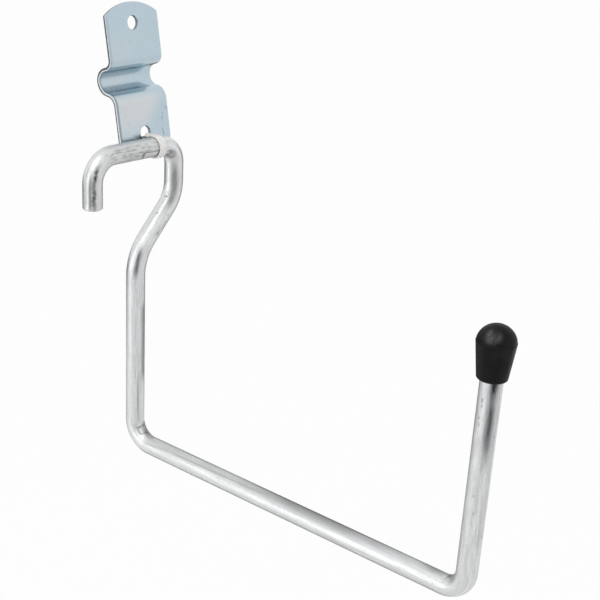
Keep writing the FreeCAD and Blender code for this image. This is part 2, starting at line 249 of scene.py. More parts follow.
# Creases: depth, place and facing of the start, place and facing of the end, half width.
CREASES = (
    (0.16, 353.0, 34, 355.4, -34, 0.5),
    (0.12, 356.0, 24, 357.6, -26, 0.4),
)
heel_mark = plate(HEEL_PLACE, HEEL_FACING, *HEEL_SIZE)
toe_mark = diamond(TOE_PLACE, TOE_FACING, *TOE_SIZE)
clamp_mark = plate(CLAMP_PLACE, CLAMP_FACING, *CLAMP_SIZE)
radius = np.full_like(distance, ROD_RADIUS)
radius -= HEEL_DENT * inside(heel_mark, 1.25, 0.5)
radius -= TOE_DENT * inside(toe_mark, 1.2, 1.0) ** 2
radius -= CLAMP_DENT * inside(clamp_mark, 1.1, 0.2)
for dent, *figure in DENTS:
    radius -= dent * oval(*figure)
for dent, *figure in CREASES:
    radius -= dent * streak(*figure)
ripple = np.sin(distance * 0.9 + 2 * np.sin(angle)) + np.sin(distance * 0.37 + 3 * angle)
radius -= RIPPLE * (ripple + np.sin(distance * 1.7 - 2 * angle) + 3)
from_edge = np.clip(PRONG_EDGE - distance, 0, None)
rounded_off = np.sqrt(np.clip(PRONG_EDGE ** 2 - from_edge ** 2, 0, None))
radius -= PRONG_EDGE - rounded_off + np.clip(BURIED_EDGE - (rod_length - distance), 0, None)
radius[[0, -1]] *= END_SHARE
outward = np.cos(angle)[..., None] * first_side[:, None]
outward += np.sin(angle)[..., None] * second_side[:, None]
bent_rod = skin("bent_rod", centres[:, None] + radius[..., None] * outward)


def give_values(piece, name, values):
    """Stores one number, or three numbers, for each point of a piece, for its material to read."""
    kind = "FLOAT_VECTOR" if values.shape[-1] == 3 else "FLOAT"
    attribute = piece.data.attributes.new(name, kind, "POINT")
    field = "value" if kind == "FLOAT" else "vector"
    attribute.data.foreach_set(field, values.astype(np.float32).ravel())


straightened = np.stack([ROD_RADIUS * np.cos(angle), ROD_RADIUS * np.sin(angle), distance], -1)
give_values(bent_rod, "straightened", straightened)
# Scuffed runs: strength, start, end and softness along the rod.
SCUFFED_RUNS = (
    (0.35, 84, 135, 12),
    (0.4, 415, 450, 14),
    (0.2, 350, 415, 14),
)
scuffs = 0.12 + 0.88 * ledge(distance, 22, 54, 6) * ledge(turned_from(20), -4.6, 4.6, 2)
scuffs += 0.3 * ledge(distance, 150, 186, 10) * ledge(turned_from(10), -2.5, 3, 2)
for strength, *run in SCUFFED_RUNS:
    scuffs += strength * ledge(distance, *run)
scuffs *= 1 - 0.7 * inside(clamp_mark, 1.0, 0.1)
give_values(bent_rod, "scuffs", np.clip(scuffs, 0, 1))
# Painted dark reflections, as dark streaks along the rod and grey bands on the arm's top: strength,
# start, end and softness along the rod, facing, half width.
PAINTED_REFLECTION_STREAKS = (
    (0.62, 0.6, 13, 4, -56, 0.8),
    (0.4, 2, 15, 3, -82, 0.9),
    (0.6, 66, 86, 8, 38, 2.4),
    (0.8, 107, 117, 6, 44, 1.5),
    (0.6, 130, 164, 8, -13, 1.9),
    (0.85, 412, 436, 16, 133, 2.3),
    (1.0, 436, 460, 10, 134, 2.4),
)
PAINTED_REFLECTION_BANDS = (
    (0.3, 200, 264, 20, -10, 6.4),
    (1.0, 264, 318, 34, -16, 6.8),
    (0.4, 318, 352, 16, -14, 6.6),
)
# The prong's dark streak is a painted reflection that wavers round the rod and flickers in
# strength.
wander = 2 * np.sin(1.1 * distance) + 1.5 * np.sin(3.7 * distance + 1)
reflection_flicker = 0.86 + 0.14 * np.sin(1.7 * distance + 2 * np.sin(0.9 * distance))
painted_dark_reflection = reflection_flicker * band(0.6, 17, 5, -33 + wander, 1.25)
for strength, *strip in PAINTED_REFLECTION_STREAKS:
    painted_dark_reflection += strength * band(*strip)
give_values(bent_rod, "painted_dark_reflection", np.clip(painted_dark_reflection, 0, 1))
# Dull wear all round the bar, and painted dark reflection in bands along the arm's top.
dull_wear_and_reflection = 0.18 * ledge(distance, 20, 50, 8)
for strength, *strip in PAINTED_REFLECTION_BANDS:
    dull_wear_and_reflection += strength * band(*strip)
give_values(bent_rod, "dull_wear_and_reflection", np.clip(dull_wear_and_reflection, 0, 1))
# Painted shade in the shoulder's inner bend, under the tie: strength, place along the rod, facing,
# half length, half width, softness of the rim.
PAINTED_SHADE_PATCHES = (
    (0.46, 57.9, 43, 3.8, 3.1, 0.35),
    (0.22, 62.0, 42, 3.4, 2.9, 0.6),
)
# Spots: strength, place along the rod, facing, half length, half width. The wide one on the arm's
# top by the toe, at 346.5, is painted dark reflection.
SPOTS = (
    (0.6, 23.5, -28, 0.6, 0.4),
    (0.9, 81.4, 76, 0.6, 1.5),
    (0.7, 88.8, 8, 0.6, 0.5),
    (0.9, 90.5, 72, 0.7, 0.6),
    (0.9, 97.8, 0, 1.8, 0.5),
    (0.5, 188.4, -12, 1.6, 1.3),
    (0.5, 189.4, 20, 0.9, 0.8),
    (0.28, 194.6, -3, 2.2, 1.5),
    (0.45, 346.5, -6, 9, 3.0),
    (0.6, 380.8, 176, 0.9, 0.4),
    (0.6, 390.3, 110, 0.9, 0.4),
    (0.7, 397, 102, 0.8, 0.4),
    (0.7, 419.5, 172, 0.9, 0.4),
    (0.7, 423.8, 80, 1.2, 0.35),
    (0.8, 426.1, 76, 0.8, 0.4),
    (0.8, 430.6, 85, 0.9, 0.35),
    (0.8, 432.8, 82, 1.2, 0.5),
)
# Scratches, and one wide trail of painted shade in the heel's inner bend, from 185 to 204:
# strength, place and facing of the start, place and facing of the end, half width.
SCRATCHES_AND_SHADE_TRAIL = (
    (0.7, 52.4, 26, 56.8, 16, 0.5),
    (0.3, 54.0, 30, 58.5, 24, 0.5),
    (0.5, 160, 27, 188, 28, 0.5),
    (0.65, 185, -18, 204, 0, 2.0),
    (0.3, 196, 60, 214, 44, 0.4),
    (0.4, 200, 42, 272, 31, 0.55),
    (0.8, 352.2, 34, 356.0, -30, 0.7),
    (0.6, 355.8, 24, 357.8, -26, 0.5),
    (0.3, 364, 152, 404, 150, 0.5),
)
# Rows of short dashes on the bar: facing, start of the first dash, length of one beat.
DASH_ROWS = ((15, 1.0, 3.7), (-2, 3.1, 4.6), (-22, 0.2, 4.1), (-41, 2.4, 5.3))
DASH_STRENGTH = 0.42
DASH_HALF_LENGTH = 1.5
DASH_HALF_WIDTH = 0.42
DASH_WANDER = 0.7
DASH_WANDER_RATE = 0.7
heel_side = np.clip(0.35 + 0.4 * turned_from(HEEL_FACING) - 0.1 * (distance - HEEL_PLACE), 0.1, 0.8)
marks_and_shade = 0.7 * rim_line(heel_mark, 0.3) * heel_side
marks_and_shade += 0.4 * inside(toe_mark, 1.1, 1.0)
marks_and_shade += 0.8 * rim_line(clamp_mark, 0.2) * (turned_from(CLAMP_FACING) < 1.2)
for strength, *figure in PAINTED_SHADE_PATCHES:
    marks_and_shade += strength * patch(*figure)
# Painted shade along the underside of the bar, in an olive tone.
marks_and_shade += 0.2 * band(18, 56, 6, 78, 2.6)
for strength, *figure in SPOTS:
    marks_and_shade += strength * oval(*figure)
for strength, *figure in SCRATCHES_AND_SHADE_TRAIL:
    marks_and_shade += strength * streak(*figure)
dashed_run = DASH_STRENGTH * ledge(distance, 21, 46, 8) * (1 - inside(clamp_mark, 1.2, 0.2))
for facing, start, beat_length in DASH_ROWS:
    wandered = distance + DASH_WANDER * np.sin(DASH_WANDER_RATE * distance + facing)
    beat = (wandered - start) % beat_length - beat_length / 2
    far = np.hypot(beat / DASH_HALF_LENGTH, turned_from(facing) / DASH_HALF_WIDTH)
    marks_and_shade += dashed_run * np.clip(1 - far ** 2, 0, 1)
give_values(bent_rod, "bend_marks_and_shade", np.clip(marks_and_shade, 0, 1))


def add_node(tree, kind, sockets=None, **settings):
    """Adds a shader node. A socket takes a plain value, or a link from another node's output."""
    node = tree.nodes.new("ShaderNode" + kind)
    for name, value in settings.items():
        setattr(node, name, value)
    for name, value in (sockets or {}).items():
        if isinstance(value, bpy.types.NodeSocket):
            tree.links.new(value, node.inputs[name])
        else:
            node.inputs[name].default_value = value
    return node


def grain(tree, vector, stretch, scale, detail=3.0, roughness=0.55):
    """Soft noise, from 0 to 1, on a vector that is first stretched along its three directions."""
    mapped = add_node(tree, "Mapping", {"Vector": vector, "Scale": stretch})
    sockets = {
        "Vector": mapped.outputs[0],
        "Scale": scale,
        "Detail": detail,
        "Roughness": roughness,
    }
    return add_node(tree, "TexNoise", sockets).outputs["Fac"]


def between(tree, value, low, high, start=0.0, end=1.0):
    """Takes a value's range from low to high onto start to end, held flat outside it."""
    sockets = {"Value": value, "From Min": low, "From Max": high, "To Min": start, "To Max": end}
    return add_node(tree, "MapRange", sockets, interpolation_type="SMOOTHSTEP").outputs["Result"]


def sums(tree, kind, first, second):
    """One sum of two numbers, such as their product, their difference or the greater of the two."""
    return add_node(tree, "Math", {0: first, 1: second}, operation=kind).outputs[0]


def blend_colours(tree, amount, first, second):
    """A mix of two colours, by an amount from 0 to 1."""
    node = add_node(tree, "Mix", {0: amount}, data_type="RGBA")
    for index, colour in ((6, first), (7, second)):
        if isinstance(colour, bpy.types.NodeSocket):
            tree.links.new(colour, node.inputs[index])
        else:
            node.inputs[index].default_value = colour
    return node.outputs[2]


def new_finish(name):
    """An empty material, its node tree and its shader."""
    material = bpy.data.materials.new(name)
    material.use_nodes = True
    return material, material.node_tree, material.node_tree.nodes["Principled BSDF"]


ZINC_BRIGHT = (0.868, 0.886, 0.902, 1)
ZINC_DULL = (0.69, 0.70, 0.695, 1)
ZINC_SCUFF = (0.33, 0.34, 0.34, 1)
ZINC_PAINTED_REFLECTION = (0.042, 0.045, 0.05, 1)
ZINC_TARNISH_AND_REFLECTION = (0.29, 0.30, 0.30, 1)
ZINC_MARK_AND_SHADE = (0.125, 0.124, 0.095, 1)
rod_zinc, tree, shader = new_finish("rod_zinc")
wire = add_node(tree, "Attribute", attribute_name="straightened").outputs["Vector"]
scuffed = add_node(tree, "Attribute", attribute_name="scuffs").outputs["Fac"]
painted_reflection_fac = add_node(tree, "Attribute", attribute_name="painted_dark_reflection").outputs["Fac"]
dull_wear_and_reflection = add_node(tree, "Attribute", attribute_name="dull_wear_and_reflection").outputs["Fac"]
marks_and_shade_fac = add_node(tree, "Attribute", attribute_name="bend_marks_and_shade").outputs["Fac"]
draw_lines = grain(tree, wire, (1, 1, 0.02), 4.5, 4.0)
dashes = grain(tree, wire, (1, 1, 0.06), 2.4, 2.0)
long_dashes = grain(tree, wire, (1, 1, 0.12), 2.1, 3.0)
clouds = grain(tree, wire, (1, 1, 0.35), 0.45, 4.0)
fine = grain(tree, wire, (1, 1, 0.6), 6.0, 2.0)
pits = add_node(tree, "TexVoronoi", {"Vector": wire, "Scale": 0.42, "Randomness": 1.0})
pitted = between(tree, pits.outputs["Distance"], 0.10, 0.05)
dashed = sums(tree, "MULTIPLY", between(tree, dashes, 0.50, 0.66), scuffed)
broken_reflection = sums(tree, "MULTIPLY", painted_reflection_fac, between(tree, long_dashes, 0.32, 0.62, 0.86, 1.06))
lined = between(tree, draw_lines, 0.35, 0.68)
mottled = between(tree, clouds, 0.38, 0.66)
speckled = between(tree, fine, 0.46, 0.66)
colour = blend_colours(tree, lined, ZINC_BRIGHT, ZINC_DULL)
colour = blend_colours(tree, sums(tree, "MULTIPLY", mottled, 0.4), colour, ZINC_DULL)
colour = blend_colours(tree, sums(tree, "MULTIPLY", speckled, 0.27), colour, ZINC_TARNISH_AND_REFLECTION)
# Dull wear on the bar, and painted dark reflection on the arm's top.
colour = blend_colours(tree, dull_wear_and_reflection, colour, ZINC_TARNISH_AND_REFLECTION)
colour = blend_colours(tree, sums(tree, "MULTIPLY", dashed, 0.7), colour, ZINC_SCUFF)
colour = blend_colours(tree, sums(tree, "MULTIPLY", pitted, 0.6), colour, ZINC_SCUFF)
# Painted dark reflections, cut into dashes.
colour = blend_colours(tree, broken_reflection, colour, ZINC_PAINTED_REFLECTION)
# Olive-dark tone: tool flats' rims, spots, scratches and dashes, with painted shade in the
# shoulder, the heel's bend and under the bar, and one painted reflection on the arm.
colour = blend_colours(tree, marks_and_shade_fac, colour, ZINC_MARK_AND_SHADE)
tree.links.new(colour, shader.inputs["Base Color"])
rough = between(tree, draw_lines, 0.3, 0.7, 0.30, 0.42)
rough = sums(tree, "ADD", rough, sums(tree, "MULTIPLY", fine, 0.12))
tree.links.new(rough, shader.inputs["Roughness"])
relief = sums(tree, "MULTIPLY", fine, 0.35)
relief = sums(tree, "SUBTRACT", relief, sums(tree, "ADD", dashed, pitted))
relief = sums(tree, "SUBTRACT", relief, sums(tree, "MULTIPLY", lined, 0.6))
bump = add_node(tree, "Bump", {"Height": relief, "Strength": 0.4, "Distance": 0.00004})
tree.links.new(bump.outputs[0], shader.inputs["Normal"])
shader.inputs["Metallic"].default_value = 1.0
bent_rod.data.materials.append(rod_zinc)
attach(bent_rod, "root")
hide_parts("hook_rod")

# Rubber cap: a moulded black cap with a tapered skirt and a dome, pushed on the rod's upturned
# tip. It keeps the faint line where its two mould halves met, round the foot of the dome.
CAP_HOME = np.array([-9.0, -180.072, -94.095])
CAP_BORE = 4.05
CAP_BORE_STEP = 0.3
CAP_BORE_FOOT = 0.4
CAP_MOUTH = 5.3
CAP_WIDTH = 6.9
CAP_LIP = 0.9
CAP_BORE_TOP = 16.55
CAP_TOP = 19.45
CAP_DOME = 6.2
CAP_DOME_STOP = 0.03
CAP_AROUND = 120
PARTING_RIDGE = 0.07
PARTING_RIDGE_UP = 0.25
PARTING_RIDGE_REACH = 0.45
PARTING_GROOVE = 0.10
PARTING_GROOVE_UP = 0.8
PARTING_GROOVE_REACH = 0.6
PARTING_INSET = 0.002
dome_radius = (CAP_WIDTH ** 2 + CAP_DOME ** 2) / (2 * CAP_DOME)
dome_middle = CAP_TOP - dome_radius
dome_foot = CAP_TOP - CAP_DOME
taper = np.arctan2(CAP_WIDTH - CAP_MOUTH, dome_foot)
lip_turn = np.linspace(-np.pi / 2, -taper, 12)
lip_middle = CAP_MOUTH - CAP_LIP * np.tan(np.pi / 4 - taper / 2)
lip = np.stack([lip_middle + CAP_LIP * np.cos(lip_turn), CAP_LIP + CAP_LIP * np.sin(lip_turn)], 1)
skirt = np.linspace(lip[-1], [CAP_WIDTH, dome_foot], 40)[1:-1]
dome_start = np.arcsin((dome_foot - dome_middle) / dome_radius)
dome_turn = np.linspace(dome_start, np.pi / 2 - CAP_DOME_STOP, 44)
dome = np.stack([dome_radius * np.cos(dome_turn), dome_middle + dome_radius * np.sin(dome_turn)], 1)
bore = np.array([
    [CAP_BORE, CAP_BORE_TOP],
    [CAP_BORE, CAP_BORE_TOP - CAP_BORE_STEP],
    [CAP_BORE, CAP_BORE_FOOT],
    [CAP_BORE + CAP_BORE_STEP, 0.0],
])
outline = np.concatenate([bore, lip, skirt, dome])
above_foot = outline[:, 1] - dome_foot
parting = PARTING_RIDGE * swell(above_foot, PARTING_RIDGE_UP, PARTING_RIDGE_REACH)
parting -= PARTING_GROOVE * swell(above_foot, PARTING_GROOVE_UP, PARTING_GROOVE_REACH)
parting[: len(bore)] = 0
outline[:, 0] += np.minimum(parting, CAP_WIDTH - outline[:, 0] - PARTING_INSET)
turn = np.linspace(0, 2 * np.pi, CAP_AROUND, endpoint=False)
cap_rings = np.stack([
    outline[:, :1] * np.cos(turn),
    outline[:, :1] * np.sin(turn),
    np.repeat(outline[:, 1:], CAP_AROUND, axis=1),
], -1)
rubber_cap = skin("rubber_cap", CAP_HOME + cap_rings)
RUBBER_BLACK = (0.003, 0.003, 0.003, 1)
RUBBER_GREY = (0.008, 0.008, 0.0075, 1)
RUBBER_PAINTED_HIGHLIGHT = (0.15, 0.15, 0.145, 1)
PAINTED_HIGHLIGHT_PLACE = (-0.0143, -0.181, -0.0769)
PAINTED_HIGHLIGHT_REACH = 0.004
cap_rubber, tree, shader = new_finish("cap_rubber")
place = add_node(tree, "TexCoord").outputs["Object"]
bloom = grain(tree, place, (1, 1, 1), 260.0, 4.0)
specks = grain(tree, place, (1, 1, 1), 2600.0, 2.0)
colour = blend_colours(tree, between(tree, bloom, 0.42, 0.7), RUBBER_BLACK, RUBBER_GREY)
# A painted highlight on the dome's upper left, mottled like the rest of the rubber.
from_painted_highlight = add_node(tree, "VectorMath", {0: place, 1: PAINTED_HIGHLIGHT_PLACE}, operation="DISTANCE")
in_painted_highlight = between(tree, from_painted_highlight.outputs["Value"], PAINTED_HIGHLIGHT_REACH, 0.0)
in_painted_highlight = sums(tree, "MULTIPLY", in_painted_highlight, between(tree, bloom, 0.36, 0.62, 0.2, 1.0))
colour = blend_colours(tree, in_painted_highlight, colour, RUBBER_PAINTED_HIGHLIGHT)
tree.links.new(colour, shader.inputs["Base Color"])
tree.links.new(between(tree, bloom, 0.3, 0.7, 0.36, 0.50), shader.inputs["Roughness"])
relief = sums(tree, "ADD", sums(tree, "MULTIPLY", bloom, 3.0), specks)
bump = add_node(tree, "Bump", {"Height": relief, "Strength": 0.3, "Distance": 0.00004})
tree.links.new(bump.outputs[0], shader.inputs["Normal"])
shader.inputs["Specular IOR Level"].default_value = 0.13
rubber_cap.data.materials.append(cap_rubber)
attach(rubber_cap, "root")
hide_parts("end_cap")

# Wall strap: 1.5 mm steel strip with a half-round bead pressed across it, two screw holes and
# round ends. It is blue zinc plated after pressing. Its sheared edges are bright and rolled over
# at the front, with a dark torn line behind.
STRAP_LEAN = np.radians(8.4)
STRAP_TURN = np.radians(1.7)
STRAP_HALF = 14.0
STRAP_GAUGE = 1.5
HOLE_PITCH = 44.0
HOLE_RADIUS = 2.75
END_MARGIN = 8.1
END_RADIUS = 24.0
END_TRIM = 1.0
BEAD_RADIUS = 4.22
BEAD_CREASE = 5.6
UPPER_CREASE = 4.3
BEAD_HEIGHT = -22.0
FLANGE_FLAT = 9.9
EDGE_ROLL = 0.26
EDGE_BURR = 0.08
EDGE_SUPPORT = 0.6
EDGE_LEVELS = (0.6, 0.95, 1.2)
STRAP_COLUMNS = 44
NET_ROWS = 18
NET_GATHER = 1.2
fold_turn = np.arccos((BEAD_CREASE - ROD_RADIUS) / (BEAD_CREASE + BEAD_RADIUS))
fold_rise = np.sin(fold_turn) * (BEAD_CREASE + BEAD_RADIUS) - BEAD_CREASE * np.tan(fold_turn / 2)
STRAP_SECTION = np.array([
    [0, 0, END_MARGIN],
    [0, 0, BEAD_HEIGHT + fold_rise],
    [0, fold_rise * np.tan(fold_turn), BEAD_HEIGHT],
    [0, 0, BEAD_HEIGHT - fold_rise],
    [0, 0, -HOLE_PITCH - END_MARGIN],
])
STRAP_BENDS = np.array([UPPER_CREASE, BEAD_RADIUS, BEAD_CREASE])
strap_length = bent_length(STRAP_SECTION, STRAP_BENDS)
flange_length = END_MARGIN - BEAD_HEIGHT - FLANGE_FLAT


def strap_place(across, along, into):
    """Takes places on the flat strip, across, along and into it, to the pressed and hung strap.

    The strip follows its section, turns a little in its own plane, then leans back.
    """
    line, heading = bent_line(STRAP_SECTION, STRAP_BENDS, along.ravel())
    depth = line[:, 1].reshape(along.shape) - heading[:, 2].reshape(along.shape) * into
    height = line[:, 2].reshape(along.shape) + heading[:, 1].reshape(along.shape) * into
    x = across * np.cos(STRAP_TURN) - height * np.sin(STRAP_TURN)
    z = across * np.sin(STRAP_TURN) + height * np.cos(STRAP_TURN)
    y = depth * np.cos(STRAP_LEAN) + z * np.sin(STRAP_LEAN)
    return np.stack([x, y, z * np.cos(STRAP_LEAN) - depth * np.sin(STRAP_LEAN)], -1)


def flange_edge(inset):
    """A flange's edge on the flat strip, moved in by an inset.

    It goes up one side, round the end and down the other side. The end is an arc of END_RADIUS,
    and an arc of END_TRIM rounds each corner between it and a side.
    """
    trim_turn = np.arcsin((STRAP_HALF - END_TRIM) / (END_RADIUS - END_TRIM))
    trim_along = END_RADIUS - (END_RADIUS - END_TRIM) * np.cos(trim_turn)
    side_along = np.linspace(flange_length, trim_along, 26)[:-1]
    corner = np.linspace(0, np.pi / 2 - trim_turn, 8)[:-1]
    arc = np.linspace(trim_turn, 0, 24)
    half_across = np.concatenate([
        STRAP_HALF - inset + 0 * side_along,
        STRAP_HALF - END_TRIM + (END_TRIM - inset) * np.cos(corner),
        (END_RADIUS - inset) * np.sin(arc),
    ], -1)
    half_along = np.concatenate([
        side_along + 0 * inset,
        trim_along - (END_TRIM - inset) * np.sin(corner),
        END_RADIUS - (END_RADIUS - inset) * np.cos(arc),
    ], -1)
    across = np.concatenate([half_across, -half_across[..., -2::-1]], -1)
    return across, np.concatenate([half_along, half_along[..., -2::-1]], -1)


roll = np.linspace(0, np.pi / 2, 6)
burr = np.linspace(0, np.pi / 2, 4)
edge_inset = np.concatenate([
    [EDGE_SUPPORT],
    EDGE_ROLL * (1 - np.sin(roll)),
    np.zeros(len(EDGE_LEVELS)),
    EDGE_BURR * (1 - np.cos(burr)),
    [EDGE_SUPPORT],
])[:, None]
edge_into = np.concatenate([
    [0],
    EDGE_ROLL * (1 - np.cos(roll)),
    EDGE_LEVELS,
    STRAP_GAUGE - EDGE_BURR * (1 - np.sin(burr)),
    [STRAP_GAUGE],
])[:, None]
face_half = STRAP_HALF - EDGE_SUPPORT
face_columns = np.linspace(-face_half, face_half, STRAP_COLUMNS + 1)
bead_rows = np.linspace(flange_length, strap_length - flange_length, 64)
rim_across, rim_along = flange_edge(edge_inset)
side_across = (STRAP_HALF - edge_inset) + 0 * bead_rows
face_across, face_along = flange_edge(np.array([EDGE_SUPPORT]))
ring = np.stack([
    np.append(face_across, face_columns[1:-1]),
    np.append(face_along, np.full(STRAP_COLUMNS - 1, flange_length)),
], -1)
spoke = ring - [0, END_MARGIN]
spoke /= np.linalg.norm(spoke, axis=1, keepdims=True)
hole_face = [0, END_MARGIN] + (HOLE_RADIUS + EDGE_SUPPORT) * spoke
net = hole_face + (ring - hole_face) * np.linspace(0, 1, NET_ROWS)[:, None, None] ** NET_GATHER
hole_net = [0, END_MARGIN] + (HOLE_RADIUS + edge_inset)[..., None] * spoke
net_across, net_along = np.moveaxis(net, -1, 0)
hole_across, hole_along = np.moveaxis(hole_net, -1, 0)
# Patches: places across, along and into the flat strip, the end they are counted from, whether
# they line a hole, and whether they close round.
patches = []
for end in (1, -1):
    for into in (0.0, STRAP_GAUGE):
        patches.append((net_across, net_along, into + 0 * net_across, end, 0.0, True))
    patches.append((hole_across, hole_along, edge_into + 0 * hole_across, end, 1.0, True))
    patches.append((rim_across, rim_along, edge_into + 0 * rim_across, end, 0.0, False))
    bead_side = end * side_across
    patches.append((bead_side, bead_rows + 0 * bead_side, edge_into + 0 * bead_side, 1, 0.0, False))
for into in (0.0, STRAP_GAUGE):
    across, rows = np.meshgrid(face_columns, bead_rows)
    patches.append((across, rows, into + 0 * across, 1, 0.0, False))
points = []
faces = []
depths = []
bores = []
flats = []
start = 0
for across, rows, into, end, bored, closed in patches:
    rows = rows if end > 0 else strap_length - rows
    index = start + np.arange(across.size).reshape(across.shape)
    start += across.size
    index = np.append(index, index[:, :1], axis=1) if closed else index
    quads = np.stack([index[:-1, :-1], index[1:, :-1], index[1:, 1:], index[:-1, 1:]], -1)
    faces += quads.reshape(-1, 4).tolist()
    points.append(strap_place(across, rows, into).reshape(-1, 3))
    depths.append(into.ravel() / STRAP_GAUGE)
    bores.append(np.full(across.size, bored))
    flats.append(np.stack([across, rows, into], -1).reshape(-1, 3))
mesh = bpy.data.meshes.new("beaded_strap")
mesh.from_pydata((np.concatenate(points) * MM).tolist(), [], faces)
beaded_strap = bpy.data.objects.new("beaded_strap", mesh)
bpy.context.scene.collection.objects.link(beaded_strap)
give_values(beaded_strap, "into", np.concatenate(depths)[:, None])
give_values(beaded_strap, "bored", np.concatenate(bores)[:, None])
give_values(beaded_strap, "flat_place", np.concatenate(flats))
WELD = 0.000004


def close_seams(mesh):
    """Merges points that lie within WELD of each other, then turns every face outwards."""
    welded = bmesh.new()
    welded.from_mesh(mesh)
    bmesh.ops.remove_doubles(welded, verts=welded.verts, dist=WELD)
    bmesh.ops.recalc_face_normals(welded, faces=welded.faces)
    welded.to_mesh(mesh)
    welded.free()


close_seams(mesh)
mesh.shade_smooth()
LOWER_START = strap_length - flange_length
RUB_DOWN = LOWER_START + 11.0
RUB_ASIDE = 4.7
RUB_STRETCH = 0.38
RUB_REACH = 7.5
WARM_SLANT = 0.75
WARM_HAZE = 9.0
ROLLED_FROM = -12.9
ROLLED_TO = -13.3
STRAP_BLUE = (0.475, 0.58, 0.645, 1)
STRAP_WARM = (0.60, 0.635, 0.655, 1)
STRAP_SMUDGE = (0.33, 0.41, 0.46, 1)
STRAP_RUBBED = (0.22, 0.28, 0.32, 1)
STRAP_PAINTED_SHADE = (0.09, 0.14, 0.17, 1)
BAR_SHADE_DOWN = strap_length - 5.6
BAR_SHADE_HEIGHT = 2.0
SHEARED_BRIGHT = (0.76, 0.78, 0.79, 1)
SHEARED_DARK = (0.13, 0.14, 0.15, 1)
ROLL_PAINTED_REFLECTION = (0.24, 0.30, 0.35, 1)
BORE_PAINTED_SHADE = (0.20, 0.22, 0.23, 1)
strap_zinc, tree, shader = new_finish("strap_zinc")
place = add_node(tree, "TexCoord").outputs["Object"]
sheared = add_node(tree, "Attribute", attribute_name="into").outputs["Fac"]
bored = add_node(tree, "Attribute", attribute_name="bored").outputs["Fac"]
haze = grain(tree, place, (1, 1, 1), 42.0, 3.0)
rolling = grain(tree, place, (1, 1, 0.08), 900.0, 3.0)
mottle = grain(tree, place, (1, 1, 1), 480.0, 3.0)
flat = add_node(tree, "Attribute", attribute_name="flat_place").outputs["Vector"]
side, down = add_node(tree, "SeparateXYZ", {"Vector": flat}).outputs[:2]
top_of_warm = between(tree, down, LOWER_START - 5.0, LOWER_START - 1.5)
end_of_warm = between(tree, down, LOWER_START + 17.0, LOWER_START + 5.0)
slanted = sums(tree, "MULTIPLY", sums(tree, "SUBTRACT", down, LOWER_START), WARM_SLANT)
slanted = sums(tree, "ADD", side, slanted)
slanted = sums(tree, "ADD", slanted, sums(tree, "MULTIPLY", haze, WARM_HAZE))
warm = sums(tree, "MULTIPLY", top_of_warm, end_of_warm)
warm = sums(tree, "MULTIPLY", warm, between(tree, slanted, 18.0, 7.0))
warm = sums(tree, "MAXIMUM", warm, between(tree, haze, 0.45, 0.75, 0.0, 0.35))
rub_place = add_node(tree, "Mapping", {
    "Vector": flat,
    "Location": (-RUB_ASIDE, -RUB_DOWN / RUB_REACH, 0),
    "Scale": (RUB_STRETCH, 1 / RUB_REACH, 0),
}).outputs[0]
rub = add_node(tree, "VectorMath", {0: rub_place}, operation="LENGTH").outputs["Value"]
rub = sums(tree, "MULTIPLY", between(tree, rub, 0.82, 0.98), between(tree, rub, 1.14, 0.98))
rub = sums(tree, "MULTIPLY", rub, between(tree, mottle, 0.40, 0.64, 0.0, 0.8))
colour = blend_colours(tree, warm, STRAP_BLUE, STRAP_WARM)
colour = blend_colours(tree, rub, colour, STRAP_RUBBED)
# Painted shade on the strap's face just above the bar, left of the lower hole.
bar_shade = between(tree, down, BAR_SHADE_DOWN - BAR_SHADE_HEIGHT, BAR_SHADE_DOWN)
bar_shade = sums(tree, "MULTIPLY", bar_shade, between(tree, side, 1.0, -1.5))
colour = blend_colours(tree, sums(tree, "MULTIPLY", bar_shade, 0.75), colour, STRAP_PAINTED_SHADE)
# Painted dark reflection on the rolled front edge, down the strap's left side.
rolled_edge = between(tree, side, ROLLED_FROM, ROLLED_TO)
rolled_edge = sums(tree, "MULTIPLY", rolled_edge, between(tree, down, 20.0, LOWER_START, 0.3, 0.85))
colour = blend_colours(tree, rolled_edge, colour, ROLL_PAINTED_REFLECTION)
colour = blend_colours(tree, between(tree, mottle, 0.58, 0.85, 0.0, 0.5), colour, STRAP_SMUDGE)
wall = between(tree, sheared, 0.04, 0.12)
wall = sums(tree, "MULTIPLY", wall, between(tree, sheared, 0.995, 0.97))
torn = sums(tree, "ADD", sheared, sums(tree, "MULTIPLY", sums(tree, "ADD", mottle, haze), 0.35))
torn = sums(tree, "ADD", torn, between(tree, down, LOWER_START - 4.0, 16.0, 0.0, 0.22))
# The rolled front of every sheared wall carries painted dark reflection.
edge_colour = blend_colours(tree, between(tree, sheared, 0.10, 0.22), ROLL_PAINTED_REFLECTION, SHEARED_BRIGHT)
edge_colour = blend_colours(tree, between(tree, torn, 0.92, 1.02), edge_colour, SHEARED_DARK)
# Painted shade on the holes' walls.
edge_colour = blend_colours(tree, sums(tree, "MULTIPLY", bored, 0.9), edge_colour, BORE_PAINTED_SHADE)
colour = blend_colours(tree, wall, colour, edge_colour)
tree.links.new(colour, shader.inputs["Base Color"])
rough = between(tree, haze, 0.35, 0.7, 0.17, 0.25)
rough = sums(tree, "ADD", rough, sums(tree, "MULTIPLY", mottle, 0.06))
rough = sums(tree, "ADD", rough, sums(tree, "MULTIPLY", wall, 0.15))
tree.links.new(rough, shader.inputs["Roughness"])
relief = sums(tree, "ADD", sums(tree, "MULTIPLY", rolling, 0.4), mottle)
bump = add_node(tree, "Bump", {"Height": relief, "Strength": 0.05, "Distance": 0.00005})
tree.links.new(bump.outputs[0], shader.inputs["Normal"])
shader.inputs["Metallic"].default_value = 1.0
beaded_strap.data.materials.append(strap_zinc)
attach(beaded_strap, "root")
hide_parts("wall_strap")

